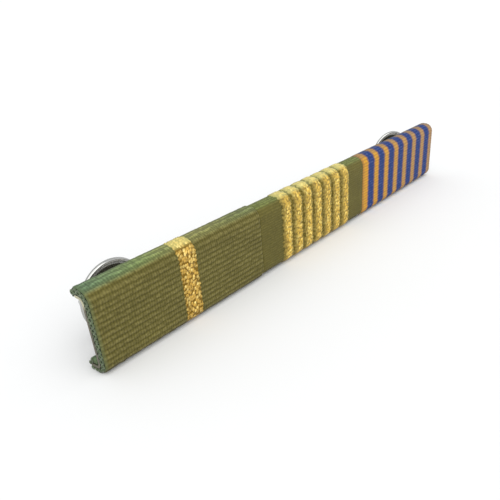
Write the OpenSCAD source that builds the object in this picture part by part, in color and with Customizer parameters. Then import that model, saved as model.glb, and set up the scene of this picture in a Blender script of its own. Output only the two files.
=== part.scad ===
// Ribbon bar: three ribbons wrapped side by side round one bent sheet-metal carrier,
// held on cloth by two pins with butterfly clutches.
// The bar stands on its lower edge, with the clutches behind it. X runs along the bar,
// Y points to the back and Z up. The origin is under the middle of the whole object.

/* [Ribbons] */
// Width of each ribbon along the bar
ribbon_w = 35; // [27:0.5:40]
// Thickness of the ribbed ribbon over its ribs
ribbed_t = 1.05; // [0.8:0.05:1.4]
// The same where it is pulled tight round the bottom lip
ribbed_hem_t = 0.7; // [0.5:0.05:0.8]
// Thickness of the corded ribbon between its cords
corded_t = 0.85; // [0.6:0.05:1]
// The same round the bottom lip
corded_hem_t = 0.5; // [0.4:0.05:0.6]
// Thickness of the striped ribbon
striped_t = 0.9; // [0.5:0.05:1.05]
// The same round the bottom lip
striped_hem_t = 0.6; // [0.4:0.05:0.7]
// Space between two ribbons at their seam
seam_gap = 0.1; // [0.05:0.05:0.3]
// Space between a ribbon and the metal under it
seat_gap = 0.05; // [0.02:0.01:0.1]
// Angle that a ribbon's upper end turns round the tip of the top lip
top_wrap = 110; // [90:5:150]

/* [Ribs and cords] */
// Distance from rib to rib on the ribbed ribbon
rib_pitch = 0.83; // [0.7:0.01:1]
// Radius of one rib
rib_r = 0.42; // [0.35:0.01:0.5]
// Height of the ribs over the ribbon between them
rib_h = 0.16; // [0.08:0.01:0.25]
// Number of raised cords on the corded ribbon
cord_n = 7; // [3:1:8]
// Distance from cord to cord
cord_pitch = 3.34; // [2.8:0.02:3.6]
// Width of one cord
cord_w = 2.5; // [1.5:0.1:2.7]
// Height of a cord over the ribbon
cord_h = 0.2; // [0.1:0.05:0.35]

/* [Carrier] */
// Thickness of the sheet metal
sheet_t = 0.45; // [0.3:0.05:0.8]
// Height of the metal channel
carrier_h = 11.55; // [9:0.05:14]
// Radius inside each bend
bend_r = 0.6; // [0.3:0.05:1]
// Flat length of the top lip between its bend and its round tip
top_lip = 0.55; // [0.3:0.05:1.2]
// Flat length of the bottom lip between its bend and its round tip
low_lip = 0.95; // [0.3:0.05:1.2]

/* [Pins] */
// Distance of the left pin from the carrier's left end
pin_inset_left = 9.4; // [8:0.1:14]
// Distance of the right pin from the carrier's right end
pin_inset_right = 9.1; // [8.5:0.1:14]
// Angle by which the right pin leans towards the carrier's right end
pin_lean = 20; // [0:1:22]
// Diameter of a pin's shank
pin_d = 1.1; // [0.8:0.05:1.4]
// Length of a pin behind the carrier
pin_l = 10.5; // [10:0.5:13]
// Length of the pin's point
point_l = 1.1; // [0.6:0.1:1.2]
// Depth of the ring groove that the clutch's spring grips
notch_depth = 0.12; // [0.05:0.01:0.2]
// Width of the ring groove
notch_w = 0.5; // [0.3:0.05:0.7]
// Diameter of the soldered foot
foot_d = 3.6; // [2.5:0.1:5]
// Thickness of the soldered foot
foot_t = 0.4; // [0.2:0.05:0.8]

/* [Clutches] */
// Diameter of a clutch over its rolled rim
clutch_d = 12; // [10.5:0.1:13]
// Diameter of the rolled rim's bead
bead_d = 0.8; // [0.5:0.05:1]
// Thickness of the clutch's sheet
clutch_t = 0.35; // [0.25:0.05:0.5]
// Distance from the carrier's back to the clutch's front face
clutch_stand = 7.1; // [6.2:0.1:7.6]
// Space between the clutch's rim and the surface the bar stands on
clutch_lift = 0.05; // [0.05:0.05:0.3]
// Outer diameter of the housing over the spring
housing_d = 7.4; // [6:0.1:8]
// Height of the housing
housing_h = 1.6; // [1.3:0.1:2]
// Bevel round the housing's back
housing_bevel = 0.3; // [0.1:0.05:0.35]
// Width of the housing's back between its two wing slots
bridge_w = 3.4; // [2.8:0.1:3.8]
// Space beside the spring in a wing slot
slot_gap = 0.15; // [0.1:0.05:0.3]
// Radial space round a pin in the clutch's holes
hole_gap = 0.1; // [0.05:0.01:0.2]
// Radial space round a pin in the spring
grip_gap = 0.05; // [0.02:0.01:0.08]

/* [Clutch springs] */
// Thickness of the spring strip
spring_t = 0.3; // [0.2:0.05:0.4]
// Width of the spring strip
spring_w = 4.6; // [3.5:0.1:5]
// Distance from the pin to where each wing bends back
wing_start = 2; // [1.9:0.1:2.4]
// Radius of the wing's bend on its inner side
wing_bend_r = 1; // [0.8:0.1:1.4]
// Angle of a wing over the clutch's face
wing_rise = 58; // [45:1:70]
// Length of a wing behind its bend
wing_l = 2.6; // [1.5:0.1:3.2]
// Turn round the pin that lifts the right wing
wing_turn = 20; // [0:5:90]

/* [Hidden] */
$fn = 64;

// Overlap that joins solids of one piece
joint = 0.02;

bar_l = 3 * ribbon_w;
woven_w = ribbon_w - seam_gap;
half_t = sheet_t / 2;
bend_out = bend_r + sheet_t;
front_flat = carrier_h - 2 * bend_out;
sheet_bottom = seat_gap + max(ribbed_hem_t, corded_hem_t + cord_h, striped_hem_t);
sheet_top = sheet_bottom + carrier_h;

clutch_r = clutch_d / 2;
bead_r = bead_d / 2;
housing_r = housing_d / 2;
pin_r = pin_d / 2;
left_pin_x = -bar_l / 2 + pin_inset_left;
right_pin_x = bar_l / 2 - pin_inset_right;
pin_z = clutch_lift + clutch_r;
spring_z = clutch_t + seat_gap;
wing_end_z = spring_z + (wing_bend_r + spring_t) * (1 - cos(wing_rise)) + wing_l * sin(wing_rise)
    + spring_t * cos(wing_rise);
wing_reach = wing_start + (wing_bend_r + spring_t) * sin(wing_rise) + wing_l * cos(wing_rise);

// Front and back of the whole object before it is centred front to back
wings_l = clutch_stand + wing_end_z;
front_y = -(seat_gap + max(ribbed_t, corded_t + cord_h, striped_t));
back_y = sheet_t + max(pin_l, wings_l, wings_l * cos(pin_lean) + wing_reach * sin(pin_lean));
mid_y = (front_y + back_y) / 2;

// Centres of the four rounded places of the carrier's section, as [y, z]
TOP_TIP = [bend_out + top_lip, sheet_top - half_t];
TOP_BEND = [bend_out, sheet_top - bend_out];
LOW_BEND = [bend_out, sheet_bottom + bend_out];
LOW_TIP = [bend_out + low_lip, sheet_bottom + half_t];

// The course of a ribbon's outside, from the top lip's tip down the front and round to the
// inner side of the bottom lip, at a height over the metal and a low height round the bottom.
// A stretch holds its place, which is an arc's centre or a straight's start as [y, z], its
// radius, which is 0 for a straight, the angle that faces away from the metal at its start, and
// its extent, which is an arc's turn or a straight's length. The front is stretch 3, from 0.
function place_of(s) = s[0];
function radius_of(s) = s[1];
function angle_of(s) = s[2];
function extent_of(s) = s[3];
function low_centre(height, low) = LOW_BEND - [height - low, 0];
function course(height, low) = [
    [TOP_TIP, half_t + height, 90 - top_wrap, top_wrap],
    [TOP_TIP + [0, half_t + height], 0, 90, top_lip],
    [TOP_BEND, bend_out + height, 90, 90],
    [TOP_BEND - [bend_out + height, 0], 0, 180, front_flat],
    [low_centre(height, low), bend_out + low, 180, 90],
    [low_centre(height, low) - [0, bend_out + low], 0, 270, low_lip + height - low],
    [LOW_TIP, half_t + low, 270, 180],
    [LOW_TIP + [0, half_t + low], 0, 90, low_lip]];

// Length of a stretch of a course
function stretch_l(s) = radius_of(s) == 0 ? extent_of(s) : radius_of(s) * extent_of(s) * PI / 180;

// Distance from a course's start to its stretch i
function run_before(way, i) = i == 0 ? 0 : run_before(way, i - 1) + stretch_l(way[i - 1]);

// Point at a depth under the outside, as [y, z], at a distance from a stretch's start
function course_point(s, run, depth) =
    let (
        straight = radius_of(s) == 0,
        a = angle_of(s) + (straight ? 0 : run / radius_of(s) * 180 / PI),
        ahead = straight ? run : 0)
    place_of(s) + (radius_of(s) - depth) * [cos(a), sin(a)] + ahead * [-sin(a), cos(a)];

// Points of an arc round a centre
function arc(centre, r, a0, a1, steps = 6) =
    [for (i = [0 : steps])
        let (a = a0 + (a1 - a0) * i / steps)
        centre + r * [cos(a), sin(a)]];

// A solid with a [y, z] section, of a given length along the bar
module along_bar(start, length) {
    translate([start, 0, 0])
        rotate([90, 0, 90])
            linear_extrude(length)
                children();
}

// The carrier's outline grown by a height, and by a low height round the bottom lip. It is
// filled inside up to the lips.
module grown(height, low) {
    low_round = low_centre(height, low);
    intersection() {
        union() {
            translate(TOP_BEND)
                circle(bend_out + height);
            translate(low_round)
                circle(bend_out + low);
            translate([-height, LOW_BEND[1]])
                square([bend_out + height, front_flat]);
            translate([low_round[0], sheet_bottom - low])
                square([bend_out, bend_out + low]);
        }
        translate([-height, sheet_bottom - low])
            square([bend_out + height, carrier_h + height + low]);
    }
    translate(TOP_TIP)
        circle(half_t + height);
    translate([bend_out, TOP_TIP[1] - half_t - height])
        square([top_lip, sheet_t + 2 * height]);
    translate(LOW_TIP)
        circle(half_t + low);
    translate([bend_out, LOW_TIP[1] - half_t - low])
        square([low_lip, sheet_t + 2 * low]);
}

// What lies past a ribbon's upper end, under the top lip
module past_upper_end(reach) {
    end = 90 - top_wrap;
    translate(TOP_TIP)
        polygon([
            [0, 0],
            reach * [cos(end), sin(end)],
            [reach * cos(end), -reach],
            [-top_lip, -reach],
            [-top_lip, 0]]);
}

// A ribbon's section. Children are added to its outside.
module wrap_section(thickness, hem_thickness) {
    difference() {
        union() {
            grown(seat_gap + thickness, seat_gap + hem_thickness);
            children();
        }
        grown(seat_gap, seat_gap);
        past_upper_end(2 * (half_t + seat_gap + thickness));
    }
}

// Draws a section along a course. Its X runs along the bar and its Y away from the metal.
module along_course(way) {
    for (s = way)
        translate([0, place_of(s)[0], place_of(s)[1]])
            if (radius_of(s) == 0)
                rotate([angle_of(s), 0, 0])
                    linear_extrude(extent_of(s))
                        children();
            else
                rotate([90, 0, 90])
                    rotate([0, 0, angle_of(s)])
                        rotate_extrude(angle = extent_of(s))
                            translate([radius_of(s), 0])
                                mirror([1, -1])
                                    children();
}

// Left edge of ribbon number i, counted from the left
function ribbon_start(i) = -bar_l / 2 + i * ribbon_w + seam_gap / 2;

module ribbed_ribbon() {
    way = course(seat_gap + ribbed_t, seat_gap + ribbed_hem_t);
    front_mid = run_before(way, 3) + front_flat / 2;
    color("olivedrab")
        along_bar(ribbon_start(0), woven_w)
            wrap_section(ribbed_t - rib_h, ribbed_hem_t - rib_h)
                for (i = [0 : len(way) - 1]) {
                    start = run_before(way, i) - front_mid;
                    first = ceil(start / rib_pitch);
                    last = ceil((start + stretch_l(way[i])) / rib_pitch) - 1;
                    if (last >= first)
                        for (k = [first : last])
                            translate(course_point(way[i], k * rib_pitch - start, rib_r))
                                circle(rib_r);
                }
}

// One cord's section: a flat-bottomed arc that is sunk a little into the ribbon, and is as
// wide as the cord where it leaves it
module cord_section() {
    round_r = (pow(cord_w / 2, 2) + pow(cord_h, 2)) / (2 * cord_h);
    intersection() {
        translate([0, cord_h - round_r])
            circle(round_r);
        translate([-round_r, -joint])
            square([2 * round_r, cord_h + 2 * joint]);
    }
}

module corded_ribbon() {
    first_cord = ribbon_start(1) + woven_w / 2 - (cord_n - 1) / 2 * cord_pitch;
    color("darkolivegreen")
        along_bar(ribbon_start(1), woven_w)
            wrap_section(corded_t, corded_hem_t);
    color("gold")
        for (i = [0 : cord_n - 1])
            translate([first_cord + i * cord_pitch, 0, 0])
                along_course(course(seat_gap + corded_t, seat_gap + corded_hem_t))
                    cord_section();
}

module striped_ribbon() {
    color("goldenrod")
        along_bar(ribbon_start(2), woven_w)
            wrap_section(striped_t, striped_hem_t);
}

// Draws a thing that stands on the carrier's back, with its own +Z pointing backwards. It
// leans towards the bar's right end.
module behind(x, lean) {
    translate([x, sheet_t, pin_z])
        rotate([0, 0, -lean])
            rotate([-90, 0, 0])
                children();
}

// One pin and its soldered foot. Its ring groove lies where the clutch's spring is.
module pin(x, lean) {
    notch_z = clutch_stand + spring_z + (spring_t - notch_w) / 2;
    shank_l = pin_l - point_l;
    behind(x, 0)
        translate([0, 0, -joint])
            cylinder(h = foot_t + joint, d = foot_d);
    behind(x, lean) {
        cylinder(h = notch_z, r = pin_r);
        cylinder(h = shank_l - joint, r = pin_r - notch_depth);
        translate([0, 0, notch_z + notch_w])
            cylinder(h = shank_l - notch_z - notch_w, r = pin_r);
        translate([0, 0, shank_l])
            cylinder(h = point_l, r1 = pin_r, r2 = pin_r / 8);
    }
}

module metal_carrier() {
    color("silver") {
        along_bar(-bar_l / 2, bar_l)
            difference() {
                grown(0, 0);
                for (centre = [TOP_BEND, LOW_BEND])
                    translate(centre)
                        circle(bend_r);
                translate([sheet_t, LOW_BEND[1]])
                    square([bend_r + joint, front_flat]);
            }
        pin(left_pin_x, 0);
        pin(right_pin_x, pin_lean);
    }
}

// Places a clutch piece on its pin
module on_pin(x, lean) {
    behind(x, lean)
        translate([0, 0, clutch_stand])
            rotate([0, 0, -wing_turn])
                children();
}

// The clutch's stamped body: a disc with a rolled rim, and a low housing over the spring.
// Each wing leaves the housing through a slot that is open at the side and at the back.
module clutch_cup(x, lean) {
    slot_w = spring_w + 2 * slot_gap;
    inner_r = housing_r - clutch_t;
    color("lightsteelblue")
        on_pin(x, lean)
            difference() {
                union() {
                    rotate_extrude()
                        polygon([
                            [0, 0],
                            [clutch_r - bead_r, 0],
                            [clutch_r - bead_r, clutch_t],
                            [housing_r, clutch_t],
                            [housing_r, housing_h - housing_bevel],
                            [housing_r - housing_bevel, housing_h],
                            [0, housing_h],
                            [0, housing_h - clutch_t],
                            [inner_r, housing_h - clutch_t],
                            [inner_r, clutch_t],
                            [0, clutch_t]]);
                    rotate_extrude()
                        translate([clutch_r - bead_r, clutch_t / 2])
                            circle(bead_r);
                }
                translate([0, 0, -joint])
                    cylinder(h = housing_h + 2 * joint, r = pin_r + hole_gap);
                for (side = [0, 180])
                    rotate([0, 0, side])
                        translate([bridge_w / 2, -slot_w / 2, clutch_t])
                            cube([housing_r, slot_w, housing_h]);
            }
}

// Half of the spring strip's outline seen from the side, from the pin to the wing's end
function wing_outline() =
    let (
        outer_r = wing_bend_r + spring_t,
        centre = [wing_start, spring_z + outer_r],
        run = wing_l * [cos(wing_rise), sin(wing_rise)],
        under = arc(centre, outer_r, -90, wing_rise - 90),
        over = arc(centre, wing_bend_r, wing_rise - 90, -90))
    concat(
        [[0, spring_z]],
        under,
        [under[len(under) - 1] + run, over[0] + run],
        over,
        [[0, spring_z + spring_t]]);

// The clutch's spring: one strip with a wing on each side, gripping the pin in its middle.
// The wings' ends are rounded in plan.
module clutch_spring(x, lean) {
    color("gainsboro")
        on_pin(x, lean)
            difference() {
                intersection() {
                    for (side = [0, 180])
                        rotate([0, 0, side])
                            translate([0, spring_w / 2, 0])
                                rotate([90, 0, 0])
                                    linear_extrude(spring_w)
                                        polygon(wing_outline());
                    cylinder(h = wing_end_z + joint, r = wing_reach);
                }
                cylinder(h = wing_end_z, r = pin_r + grip_gap);
            }
}

// Everything is drawn with the carrier's front face at y = 0 and centred front to back here
module centred() {
    translate([0, -mid_y, 0])
        children();
}

module carrier() { centred() metal_carrier(); }
module ribbon_ribbed() { centred() ribbed_ribbon(); }
module ribbon_corded() { centred() corded_ribbon(); }
module ribbon_striped() { centred() striped_ribbon(); }
module clutch_cup_left() { centred() clutch_cup(left_pin_x, 0); }
module clutch_spring_left() { centred() clutch_spring(left_pin_x, 0); }
module clutch_cup_right() { centred() clutch_cup(right_pin_x, pin_lean); }
module clutch_spring_right() { centred() clutch_spring(right_pin_x, pin_lean); }

carrier();
ribbon_ribbed();
ribbon_corded();
ribbon_striped();
clutch_cup_left();
clutch_spring_left();
clutch_cup_right();
clutch_spring_right();
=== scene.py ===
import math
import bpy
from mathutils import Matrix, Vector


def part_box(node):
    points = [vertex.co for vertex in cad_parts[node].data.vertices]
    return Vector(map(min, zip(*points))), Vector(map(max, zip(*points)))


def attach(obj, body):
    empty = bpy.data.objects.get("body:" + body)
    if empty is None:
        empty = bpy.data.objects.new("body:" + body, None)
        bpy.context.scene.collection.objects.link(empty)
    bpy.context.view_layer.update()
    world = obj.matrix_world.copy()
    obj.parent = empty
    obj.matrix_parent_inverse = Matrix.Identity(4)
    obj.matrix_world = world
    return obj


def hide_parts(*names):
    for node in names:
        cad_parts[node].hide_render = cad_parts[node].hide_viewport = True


bl_info = {
    "name": "Ribbon bar",
    "version": (1, 0, 0),
    "blender": (4, 5, 0),
    "location": "View3D > Sidebar > Ribbon bar",
    "description": "Dresses a bar of three ribbons in woven cloth, metal thread and plated metal",
    "category": "Object",
}

import bmesh
import bpy
import numpy as np
from mathutils import Matrix, Vector

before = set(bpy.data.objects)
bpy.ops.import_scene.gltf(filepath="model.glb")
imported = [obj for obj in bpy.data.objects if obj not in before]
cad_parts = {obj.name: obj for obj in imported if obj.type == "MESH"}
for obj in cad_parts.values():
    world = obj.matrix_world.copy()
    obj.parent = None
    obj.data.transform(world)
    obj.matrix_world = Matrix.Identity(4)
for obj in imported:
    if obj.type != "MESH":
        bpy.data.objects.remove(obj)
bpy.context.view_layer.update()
MM = 0.001
PI = math.pi

# Sizes of the sheet-metal carrier that the ribbons follow, as in the part's source
SHEET_T = 0.45 * MM
BEND_R = 0.6 * MM
TOP_LIP = 0.55 * MM
LOW_LIP = 0.95 * MM
HALF_T = SHEET_T / 2
BEND_OUT = BEND_R + SHEET_T
CARRIER_LOW, CARRIER_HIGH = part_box("carrier")
FACE_Y = CARRIER_LOW.y

# The cloth's gap to the metal, which is its inner face's height on the front and round the bottom lip
SEAT_GAP = 0.05 * MM
SEAT = (SEAT_GAP, SEAT_GAP)

# Degrees that the cloth turns round the top lip's edge
TOP_WRAP = 110

# Thickness of each ribbon on the front and round the bottom lip
RIBBED = (1.05 * MM, 0.7 * MM)
CORDED = (0.85 * MM, 0.5 * MM)
STRIPED = (0.9 * MM, 0.6 * MM)

# Width of a ribbon in millimetres, and the number of stripes across the striped one
RIBBON_WIDTH = 35
STRIPES = 15

# How deep the gold band's face and foot and the cords' foot lie in their cloth at those places
BAND_FACE = (0.12 * MM, 0.14 * MM)
BAND_FOOT = (0.4 * MM, 0.4 * MM)
CORD_FOOT = (0.2 * MM, 0.2 * MM)

# Room that the ribbed cloth leaves for its loops, and what a row of loops leaves free of its course's ends
LOOP_ROOM = 0.12 * MM
LOOPS_START, LOOPS_STOP = 0.7 * MM, 0.9 * MM

# Radius of a clutch's dished face
DISH_R = 5.15 * MM

# Millimetres along a pin to the dished face, and of the pins' feet backwards and upwards
DISH_REACH = 7.1
PIN_FOOT_Y, PIN_Z = -4.913, 6.05

# The camera that was fitted to the photograph, and the level way from the bar back to it
CAMERA_PLACE = Vector((-81.84, -61.739, 43.29)) * MM
CAMERA_AHEAD = Vector((0.64018, 0.59251, -0.48898))
CAMERA_UP = Vector((0.42064, 0.26227, 0.86849))
CAMERA_SHIFT = 0.1
SENSOR_MM = 36.0
TO_CAMERA = (-0.736, -0.677, 0.0)

# The way from the bar to the soft light
TO_KEY_LIGHT = Vector((-0.3, -0.6, 0.74))


def dish(foot_x, lean_x, lean_y):
    """Middle of a clutch's front face, and the direction in which its pin leans."""
    middle = Vector((foot_x + DISH_REACH * lean_x, PIN_FOOT_Y + DISH_REACH * lean_y, PIN_Z)) * MM
    return middle, Vector((lean_x, lean_y, 0))


DISHES = {"left": dish(-43.1, 0.0, 1.0), "right": dish(43.4, 0.342, 0.9397)}


def amount_prop(name, text, default, low=0.0, **more):
    """A number that a user may change."""
    return bpy.props.FloatProperty(name=name, description=text, default=default, min=low, **more)


def length_prop(name, text, default, low, high):
    """A length that a user may change, given in millimetres and kept in metres."""
    return amount_prop(name, text, default * MM, low * MM, max=high * MM, precision=5, unit="LENGTH")


def colour_prop(name, text, default):
    """A colour that a user may change."""
    return bpy.props.FloatVectorProperty(
        name=name, description=text, default=default, size=3, min=0.0, max=1.0, subtype="COLOR"
    )


class RibbonSizes(bpy.types.PropertyGroup):
    """Sizes of the ribbons' weave, cords and stripes"""

    rib_pitch: length_prop("Rib pitch", "Distance from rib to rib on the ribbed ribbon", 0.83, 0.5, 1.2)
    rib_depth: length_prop("Rib depth", "Depth of the grooves between the ribs", 0.15, 0.05, 0.4)
    fine_pitch: length_prop("Fine pitch", "Distance from rib to rib on the corded ribbon", 0.46, 0.3, 0.8)
    fine_depth: length_prop("Fine depth", "Depth of the corded ribbon's fine ribs", 0.05, 0, 0.15)
    stripe_rib: length_prop("Stripe rib", "Distance from rib to rib on the striped ribbon", 0.6, 0.3, 1)
    stripe_depth: length_prop("Stripe rib depth", "Depth of the striped ribbon's ribs", 0.05, 0, 0.15)
    stripe_w: length_prop("Stripe width", "Width of a gold or blue stripe", RIBBON_WIDTH / STRIPES, 1, 5)
    band_left: length_prop("Band's left edge", "Place of the gold band's left edge", -36.59, -50, 0)
    band_right: length_prop("Band's right edge", "Place of its right edge", -33.15, -50, 0)
    cord_count: bpy.props.IntProperty(name="Cords", description="Number of cords", default=7, min=1, max=9)
    cord_first: length_prop("First cord", "Place of the first cord's middle along the bar", -9.93, -20, 20)
    cord_pitch: length_prop("Cord pitch", "Distance from cord to cord", 3.32, 2, 6)
    cord_w: length_prop("Cord width", "Width of one gold cord", 2.8, 1, 3)
    cord_h: length_prop("Cord height", "Height of a cord's crown over the cloth", 0.26, 0.1, 0.6)
    loop_pitch: length_prop("Loop pitch", "Distance from loop to loop at the left end", 0.83, 0.5, 1.2)


class Colours(bpy.types.PropertyGroup):
    """Colours of the cloth, the metal thread and the metal"""

    olive: colour_prop("Olive", "Ribbed cloth on top of its ribs", (0.18, 0.156, 0.05))
    # Painted shade: the grooves' colour is the ribs' olive, darkened where shade falls between the ribs
    olive_groove_shade: colour_prop("Deep olive", "Ribbed cloth in its grooves", (0.098, 0.085, 0.02))
    # The lip colours are partly the weft's own colour and partly painted light and sheen from above
    lit_lip_start: colour_prop("Lip at the left end", "Weft on the ribbed cloth's fold", (0.142, 0.216, 0.112))
    lit_lip_left: colour_prop("Lip left of the band", "The same on the way to the band", (0.216, 0.28, 0.1))
    lit_lip_right: colour_prop("Lip at the band", "The same fold round the gold band", (0.262, 0.26, 0.089))
    lit_lip_end: colour_prop("Lip at the right end", "The same at the ribbon's end", (0.198, 0.226, 0.086))
    loop_green: colour_prop("Loop green", "Weft loops at the selvedge", (0.13, 0.178, 0.085))
    moss: colour_prop("Moss", "Smooth cloth beside the cords", (0.142, 0.123, 0.029))
    # Painted shade: the fine grooves' colour is the moss, darkened where shade falls between the ribs
    moss_groove_shade: colour_prop("Deep moss", "Smooth cloth in its fine grooves", (0.104, 0.09, 0.02))
    # Partly the cloth's own colour on the fold, partly painted light and sheen from above
    lit_moss_lip: colour_prop("Moss on the fold", "Smooth cloth on its fold", (0.19, 0.218, 0.063))
    gilt: colour_prop("Gilt cloth", "Cloth between the gold cords", (0.15, 0.115, 0.015))
    # Partly the gilt cloth's own colour on the fold, partly painted light and sheen from above
    lit_gilt_lip: colour_prop("Gilt cloth on the fold", "The same cloth on its fold", (0.247, 0.24, 0.085))
    thread_dark: colour_prop("Thread shade", "Metal thread where it is deepest", (0.2, 0.115, 0.012))
    thread_gold: colour_prop("Thread gold", "Metal thread of the band", (0.68, 0.415, 0.068))
    thread_pale: colour_prop("Thread highlight", "The band's brightest flecks", (0.92, 0.7, 0.22))
    cord_dark: colour_prop("Cord shade", "The cords' thread where it is deepest", (0.27, 0.175, 0.02))
    cord_gold: colour_prop("Cord gold", "Metal thread of the cords", (0.76, 0.5, 0.075))
    cord_pale: colour_prop("Cord highlight", "The cords' brightest flecks", (0.95, 0.74, 0.2))
    # Painted shade: the thread's colour where a cord's flanks turn down
    flank: colour_prop("Cord flank", "Metal thread on a cord's flanks", (0.19, 0.145, 0.02))
    amber: colour_prop("Amber", "Gold stripes at the striped ribbon's left end", (0.594, 0.297, 0.031))
    buff: colour_prop("Buff", "Gold stripes at its right end", (0.41, 0.24, 0.096))
    blue: colour_prop("Blue", "Blue stripes", (0.016, 0.042, 0.178))
    fringe: colour_prop("Fringe", "Where the two stripe colours cross", (0.17, 0.085, 0.085))
    steel: colour_prop("Steel", "The carrier's sheet metal", (0.62, 0.61, 0.58))
    nickel: colour_prop("Nickel", "The clutches' plating", (0.62, 0.62, 0.6))


class StageSizes(bpy.types.PropertyGroup):
    """The stage, its light and its camera"""

    floor: colour_prop("Floor", "Colour of the plain floor", (0.85, 0.85, 0.85))
    key_strength: amount_prop("Key light", "Strength of the soft light in front", 1.65)
    key_angle: amount_prop("Softness", "Width of that light", 1.4, max=3.0, subtype="ANGLE")
    dome: amount_prop("Dome", "Brightness of the light from all round", 0.85)
    lens: amount_prop("Lens", "Focal length of the camera in millimetres", 37.8, 10.0, max=200.0)


def sizes():
    return bpy.context.scene.ribbon_bar_sizes


def colours():
    return bpy.context.scene.ribbon_bar_colours


def toned(colour, factor):
    """A lighter or darker tone of a colour."""
    return tuple(min(1.0, factor * v) for v in colour)


# The course that a ribbon follows round the carrier

# The front's place among a course's stretches
FRONT = 3

# The squeeze at the bottom starts at a share of the front, and grows over a share of a stretch
SQUEEZE_FROM, SQUEEZE_OVER = 0.86, 0.6

# The layer that neither stretches nor shrinks in the folds, as shares of the two faces' heights
INNER_SHARE, OUTER_SHARE = 0.3, 0.7


def course(height, low):
    """A ribbon's stretches at a height over the metal, and at a low height round the bottom lip.

    Each is its arc's centre or straight's start, radius (0 for a straight), the angle that faces
    away from the metal at its start, and its turn in degrees or its length.
    """
    top_z, low_z = CARRIER_HIGH.z, CARRIER_LOW.z
    top_tip = np.array((FACE_Y + BEND_OUT + TOP_LIP, top_z - HALF_T))
    top_bend = np.array((FACE_Y + BEND_OUT, top_z - BEND_OUT))
    low_bend = np.array((FACE_Y + BEND_OUT - (height - low), low_z + BEND_OUT))
    low_tip = np.array((FACE_Y + BEND_OUT + LOW_LIP, low_z + HALF_T))
    front = top_bend[1] - low_bend[1]
    up, back = np.array((0.0, 1.0)), np.array((1.0, 0.0))
    return [
        (top_tip, HALF_T + height, 90 - TOP_WRAP, TOP_WRAP),
        (top_tip + up * (HALF_T + height), 0, 90, TOP_LIP),
        (top_bend, BEND_OUT + height, 90, 90),
        (top_bend - back * (BEND_OUT + height), 0, 180, front),
        (low_bend, BEND_OUT + low, 180, 90),
        (low_bend - up * (BEND_OUT + low), 0, 270, LOW_LIP + height - low),
        (low_tip, HALF_T + low, 270, 180),
        (low_tip + up * (HALF_T + low), 0, 90, LOW_LIP),
    ]


def stretch_length(stretch):
    return stretch[3] if stretch[1] == 0 else stretch[1] * math.radians(stretch[3])


def follow(way, steps):
    """Walks along a course, with so many steps for each stretch.

    Gives the points as (y, z), the directions away from the metal, the run so far, how far each
    point is past the lower fold, from 0 on the front to 1 round the bottom lip, and the same for
    the upper fold and the top lip.
    """
    points, away, run, past, over, so_far = [], [], [], [], [], 0.0
    for i, (place, radius, angle, extent) in enumerate(way):
        share = np.linspace(0, 1, steps[i] + 1)[min(i, 1):]
        turn = np.radians(angle + (extent if radius else 0) * share)
        out = np.stack([np.cos(turn), np.sin(turn)], 1)
        if radius:
            points.append(place + radius * out)
        else:
            ahead = np.stack([-np.sin(turn), np.cos(turn)], 1)
            points.append(place + (extent * share)[:, None] * ahead)
        away.append(out)
        length = stretch_length(way[i])
        run.append(so_far + length * share)
        past.append(np.clip((i - FRONT - SQUEEZE_FROM + share) / SQUEEZE_OVER, 0, 1))
        over.append(np.clip(FRONT - i - share, 0, 1))
        so_far += length
    return [np.concatenate(part) for part in (points, away, run, past, over)]


def steps_for(way, spacing):
    return [max(2, round(stretch_length(s) / spacing)) for s in way]


def run_to_front_middle(way):
    return sum(stretch_length(s) for s in way[:FRONT]) + stretch_length(way[FRONT]) / 2


def lifted(cloth, sunk=(0.0, 0.0)):
    """Heights over the metal of a cloth's face, or of something that lies that deep in it."""
    return tuple(SEAT_GAP + (thickness - depth) for thickness, depth in zip(cloth, sunk))


# Meshes

# Columns on a rounded edge, as shares of its radius, and the share over which the relief fades there
RIM_SHARES, FADE_SHARE = (0.0, 0.12, 0.4, 1.0), 0.4


def new_object(name, points, faces, edges=()):
    mesh = bpy.data.meshes.new(name)
    mesh.from_pydata([tuple(p) for p in points], list(edges), [tuple(f) for f in faces])
    mesh.validate()
    obj = bpy.data.objects.new(name, mesh)
    bpy.context.scene.collection.objects.link(obj)
    return obj


def store(mesh, name, values, vector=False):
    """Keeps a number or a direction for each point, for the node trees and the materials."""
    attribute = mesh.attributes.new(name, "FLOAT_VECTOR" if vector else "FLOAT", "POINT")
    attribute.data.foreach_set("vector" if vector else "value", np.asarray(values, np.float32).ravel())


def outward(obj):
    """Turns every face outwards."""
    work = bmesh.new()
    work.from_mesh(obj.data)
    bmesh.ops.recalc_face_normals(work, faces=work.faces)
    work.to_mesh(obj.data)
    work.free()


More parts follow.
